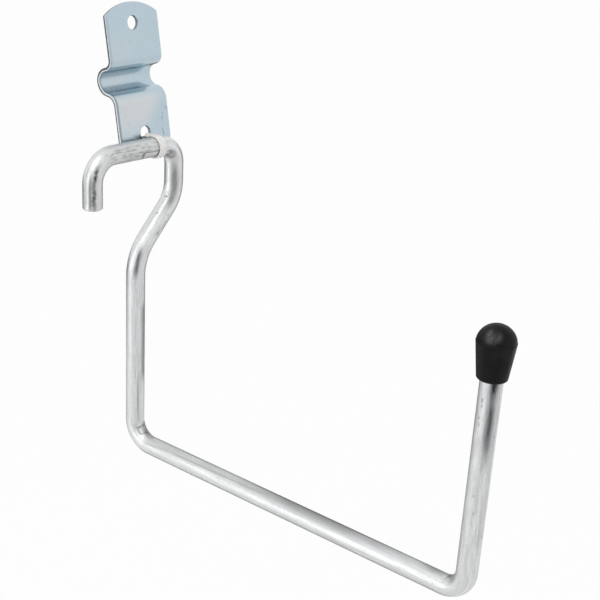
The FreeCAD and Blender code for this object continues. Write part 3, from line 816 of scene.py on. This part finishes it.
# Nylon tie: a flat natural-white tie drawn round the bar and through the strap's lower hole, to
# hold the two together. It is moulded in one with its locking head, which lies behind the strap.
TIE_HALF = 1.75
TIE_GAUGE = 0.8
TIE_SIDE = 0.3
TIE_ACROSS = HOLE_PITCH * np.sin(STRAP_TURN) + HOLE_RADIUS - TIE_HALF - TIE_SIDE
TIE_FIT = 0.06
TIE_CORNER = 0.4
TIE_SLACK = 0.25
TIE_EDGE = 0.25
TIE_CUP_FACING = np.radians(-38)
TIE_SQUEEZE = 0.7
TIE_CUP_RADIUS = 2.58
TIE_CUP_RISE = 1.0
BAR_STANDOFF = ROD_RADIUS + 0.25
BAR_HEIGHT = -49.75
HEAD_HALF_WIDTH = 2.9
HEAD_HALF_HEIGHT = 2.2
HEAD_DEPTH = 3.6
HEAD_EDGE = 0.7
HEAD_CORNER = 0.5
HEAD_APPROACH = (2.9, 2.5)
HEAD_INNER = 0.7
CUP_FRONT = -1.7
CUP_BEHIND = 9
CUP_SOFT = 2.4
back_face = STRAP_GAUGE + TIE_SLACK
hole_sill = -HOLE_PITCH * np.cos(STRAP_TURN) - np.sqrt((2 * HOLE_RADIUS - TIE_SIDE) * TIE_SIDE)
upper_corner = hole_sill + TIE_SLACK - TIE_CORNER
lower_corner = -HOLE_PITCH - END_MARGIN - TIE_SLACK + TIE_CORNER
rollers = np.array([
    [-BAR_STANDOFF, BAR_HEIGHT, ROD_RADIUS + TIE_FIT],
    [back_face - TIE_CORNER, lower_corner, TIE_CORNER],
    [back_face - TIE_CORNER, upper_corner, TIE_CORNER],
])


def belt_line(rollers, turns, shares):
    """The closed line of a belt on three rollers: an arc on each, then the tangent run to the next.

    A run leaves at the outward normal of the line of centres, tilted by the arcsine of the radii's
    difference over the distance. Gives places and outward directions, roller by roller.
    """
    following = np.roll(rollers, -1, axis=0)
    step = following[:, :2] - rollers[:, :2]
    far = np.linalg.norm(step, axis=1)
    lean = np.arctan2(-step[:, 0], step[:, 1]) + np.arcsin((rollers[:, 2] - following[:, 2]) / far)
    before = np.roll(lean, 1)
    facing = before[:, None] + ((lean - before) % (2 * np.pi))[:, None] * np.linspace(0, 1, turns)
    outward = np.stack([np.cos(facing), np.sin(facing)], -1)
    arcs = rollers[:, None, :2] + rollers[:, None, 2:] * outward
    runs = arcs[:, -1:, :] + (np.roll(arcs, -1, axis=0)[:, :1] - arcs[:, -1:]) * shares[:, None]
    run_outward = np.repeat(outward[:, -1:], len(shares), axis=1)
    return np.concatenate([arcs, runs], 1), np.concatenate([outward, run_outward], 1)


def rounded_rectangle(half_width, height, corner, samples):
    """Points round rectangles on zero height, with round corners, anticlockwise from the right."""
    turn = np.linspace(0, np.pi / 2, samples) + np.arange(4)[:, None] * np.pi / 2
    right = np.array([1, -1, -1, 1])[:, None]
    above = np.array([1, 1, 0, 0])[:, None]
    across = right * (half_width - corner) + corner * np.cos(turn)
    up = corner + above * (height - 2 * corner) + corner * np.sin(turn)
    flat = (len(half_width), -1)
    return across.reshape(flat), up.reshape(flat)


TURNS = 40
head_run = upper_corner - lower_corner
head_round = HEAD_HALF_HEIGHT - HEAD_EDGE * (1 - np.cos(np.linspace(0, np.pi / 2, 7)))
head_steps = np.concatenate([HEAD_APPROACH, [HEAD_HALF_HEIGHT], head_round, [HEAD_INNER, 0]])
head_steps = np.append(-head_steps, head_steps[-2::-1])
in_head = np.abs(head_steps) <= HEAD_HALF_HEIGHT
in_head[[2, -3]] = False
places, outward = belt_line(rollers, TURNS, 0.5 + head_steps / head_run)
headed = np.zeros(places.shape[:2], bool)
headed[1, TURNS:] = in_head
from_end = np.zeros(places.shape[:2])
from_end[1, TURNS:] = HEAD_HALF_HEIGHT - np.abs(head_steps)
bevel = np.clip(HEAD_EDGE - from_end, 0, HEAD_EDGE)
head_rise = HEAD_DEPTH - HEAD_EDGE + np.sqrt(HEAD_EDGE ** 2 - bevel ** 2)
rise = np.where(headed, head_rise, TIE_GAUGE).reshape(-1, 1, 1)
half = np.where(headed, HEAD_HALF_WIDTH, TIE_HALF).reshape(-1, 1, 1)
corner = np.where(headed, HEAD_CORNER, TIE_EDGE).reshape(-1, 1, 1)
across, up = rounded_rectangle(half, rise, corner, 6)
places = places.reshape(-1, 2)
outward = outward.reshape(-1, 2)
cupped = np.zeros(headed.shape)
cupped[2, :TURNS] = 1
last_run = places.reshape(len(rollers), -1, 2)[2, TURNS:, 0]
cupped[2, TURNS:] = ledge(last_run, CUP_FRONT, CUP_BEHIND, CUP_SOFT)
cupped = cupped.reshape(-1, 1)
hole_turn = TIE_CUP_FACING + TIE_SQUEEZE * across / TIE_CUP_RADIUS
cup_across = TIE_HALF + TIE_SIDE - HOLE_RADIUS + (TIE_CUP_RADIUS - up) * np.cos(hole_turn)
cup_up = TIE_CUP_RISE + (TIE_CUP_RADIUS - up) * np.sin(hole_turn)
depth = places[:, :1] + outward[:, :1] * up
height = places[:, 1:] + outward[:, 1:] * up + cupped * (cup_up - up)
across = across + cupped * (cup_across - across)
tie_rings = np.stack([
    TIE_ACROSS + across,
    depth * np.cos(STRAP_LEAN) + height * np.sin(STRAP_LEAN),
    height * np.cos(STRAP_LEAN) - depth * np.sin(STRAP_LEAN),
], -1)
nylon_tie = skin("nylon_tie", tie_rings, joined=True)
close_seams(nylon_tie.data)
NYLON_WHITE = (0.87, 0.86, 0.84, 1)
NYLON_SHADE = (0.78, 0.77, 0.745, 1)
tie_nylon, tree, shader = new_finish("tie_nylon")
place = add_node(tree, "TexCoord").outputs["Object"]
milk = grain(tree, place, (1, 1, 1), 700.0, 3.0)
colour = blend_colours(tree, between(tree, milk, 0.35, 0.7), NYLON_WHITE, NYLON_SHADE)
tree.links.new(colour, shader.inputs["Base Color"])
tree.links.new(between(tree, milk, 0.3, 0.7, 0.36, 0.48), shader.inputs["Roughness"])
bump = add_node(tree, "Bump", {"Height": milk, "Strength": 0.2, "Distance": 0.00003})
tree.links.new(bump.outputs[0], shader.inputs["Normal"])
shader.inputs["Subsurface Weight"].default_value = 0.25
shader.inputs["Subsurface Radius"].default_value = (0.001, 0.001, 0.0009)
nylon_tie.data.materials.append(tie_nylon)
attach(nylon_tie, "root")
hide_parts("tie_band")

# Studio: a pale floor well under the hanging hook, with soft lamps at the left, above, and low
# at the left. Grey cards round it, which only reflections show, give the plating a room's tones.
FLOOR_HEIGHT = -0.42
FLOOR_HALF = 9.0
WHITE = (1, 1, 1, 1)
FLOOR_PALE = (0.82, 0.82, 0.82, 1)
FLOOR_LIFT = 0.94
AMBIENT = 0.85
CARD_HEIGHT = -0.41
LOW_PLAN = ((-0.05, 0.4), (0.36, 0.2), (0.44, 0.4), (0.02, 0.6))
UNDER_PLAN = ((-0.03, -0.1), (0.24, -0.1), (0.24, 0.22), (-0.03, 0.22))
RIGHT_PLAN = ((0.18, -0.72), (0.4, -1.0), (0.56, -0.74), (0.4, -0.46))
LAMP_TARGET = (0.0, -0.08, -0.1)


def seen_white(tree):
    """1 for rays from the camera or sent on by a shiny or clear surface, otherwise 0."""
    path = add_node(tree, "LightPath").outputs
    shiny = sums(tree, "MAXIMUM", path["Is Glossy Ray"], path["Is Transmission Ray"])
    return sums(tree, "MAXIMUM", path["Is Camera Ray"], shiny)


def level(height, plan):
    """Corners of a level sheet: four places on the floor plan, all at one height."""
    return [(x, y, height) for x, y in plan]


def upright(start, end, low, high):
    """Corners of an upright sheet that stands on the line between two places on the floor plan."""
    return [(*start, low), (*end, low), (*end, high), (*start, high)]


def stage_sheet(name, corners, material):
    """A flat four-cornered sheet of the studio, in metres."""
    mesh = bpy.data.meshes.new(name)
    mesh.from_pydata(corners, [], [[0, 1, 2, 3]])
    mesh.materials.append(material)
    sheet = bpy.data.objects.new(name, mesh)
    bpy.context.scene.collection.objects.link(sheet)
    return sheet


floor_paint, tree, shader = new_finish("floor_paint")
shader.inputs["Base Color"].default_value = FLOOR_PALE
shader.inputs["Roughness"].default_value = 0.9
glow = add_node(tree, "Emission", {"Color": WHITE, "Strength": 1.0})
lift = sums(tree, "MULTIPLY", seen_white(tree), FLOOR_LIFT)
mixed = add_node(tree, "MixShader", {0: lift, 1: shader.outputs[0], 2: glow.outputs[0]})
tree.links.new(mixed.outputs[0], tree.nodes["Material Output"].inputs["Surface"])
floor_plan = [(FLOOR_HALF * x, FLOOR_HALF * y) for x, y in ((-1, -1), (1, -1), (1, 1), (-1, 1))]
stage_sheet("floor", level(FLOOR_HEIGHT, floor_plan), floor_paint)
world = bpy.data.worlds.new("studio_air")
bpy.context.scene.world = world
world.use_nodes = True
tree = world.node_tree
air = tree.nodes["Background"]
air.inputs["Color"].default_value = WHITE
air.inputs["Strength"].default_value = AMBIENT
white_air = add_node(tree, "Background", {"Color": WHITE, "Strength": 1.0})
airs = {0: seen_white(tree), 1: air.outputs[0], 2: white_air.outputs[0]}
mixed = add_node(tree, "MixShader", airs)
tree.links.new(mixed.outputs[0], tree.nodes["World Output"].inputs["Surface"])


def card(name, tone, corners):
    """A flat grey card that only reflections show: it gives off its tone, and hides no light."""
    paint, tree = new_finish(name)[:2]
    glow = add_node(tree, "Emission", {"Color": (tone, tone, tone, 1), "Strength": 1.0})
    tree.links.new(glow.outputs[0], tree.nodes["Material Output"].inputs["Surface"])
    sheet = stage_sheet(name, corners, paint)
    sheet.visible_camera = False
    sheet.visible_diffuse = False
    sheet.visible_shadow = False


card("front_card", 0.06, upright((-0.88, -0.1), (-0.25, -0.95), -0.29, -0.16))
card("back_card", 0.22, upright((0.7, -0.22), (0.18, 0.68), CARD_HEIGHT, 0.0))
card("side_card", 0.12, upright((0.18, 0.68), (-0.42, 0.56), -0.36, -0.1))
card("low_card", 0.2, level(CARD_HEIGHT, LOW_PLAN))
card("under_card", 0.3, level(CARD_HEIGHT, UNDER_PLAN))
card("right_card", 0.1, level(CARD_HEIGHT, RIGHT_PLAN))


def stand(name, data, right, up, back, place):
    """Stands a lamp or a camera at a place. Its axes and the place are its matrix's columns."""
    holder = bpy.data.objects.new(name, data)
    bpy.context.scene.collection.objects.link(holder)
    matrix = np.eye(4)
    matrix[:3, :4] = np.stack([right, up, back, place], 1)
    holder.matrix_world = Matrix(matrix.tolist())
    return holder


def soft_lamp(name, place, width, height, watts):
    """A rectangular lamp at a place. Its axes are level, square to that, and away from the hook."""
    lamp = bpy.data.lights.new(name, "AREA")
    lamp.shape = "RECTANGLE"
    lamp.size = width
    lamp.size_y = height
    lamp.energy = watts
    away = np.subtract(place, LAMP_TARGET)
    away /= np.linalg.norm(away)
    side = np.cross([0, 0, 1.0], away)
    side /= np.linalg.norm(side)
    stand(name, lamp, side, np.cross(away, side), away, place)


soft_lamp("left_lamp", (-1.15, 0.33, 0.15), 0.55, 0.6, 1.2)
soft_lamp("top_lamp", (-0.73, -0.2, 0.98), 0.4, 0.4, 2.4)
soft_lamp("low_lamp", (-0.68, 0.2, -0.2), 0.35, 0.36, 0.26)

# Camera: where the picture was taken from, in front of the wall, to the left and a little above.
CAMERA_PLACE = (-0.31295, -0.32894, 0.05437)
CAMERA_RIGHT = (0.61944, -0.78307, 0.05569)
CAMERA_UP = (0.24389, 0.25938, 0.93447)
CAMERA_BACK = (-0.7462, -0.56527, 0.35165)
CAMERA_LENS = 65.909
lens = bpy.data.cameras.new("camera")
lens.lens = CAMERA_LENS
lens.sensor_width = 36.0
lens.clip_start = 0.01
camera = stand("camera", lens, CAMERA_RIGHT, CAMERA_UP, CAMERA_BACK, CAMERA_PLACE)
bpy.context.scene.camera = camera
bpy.context.scene.view_settings.view_transform = "Standard"
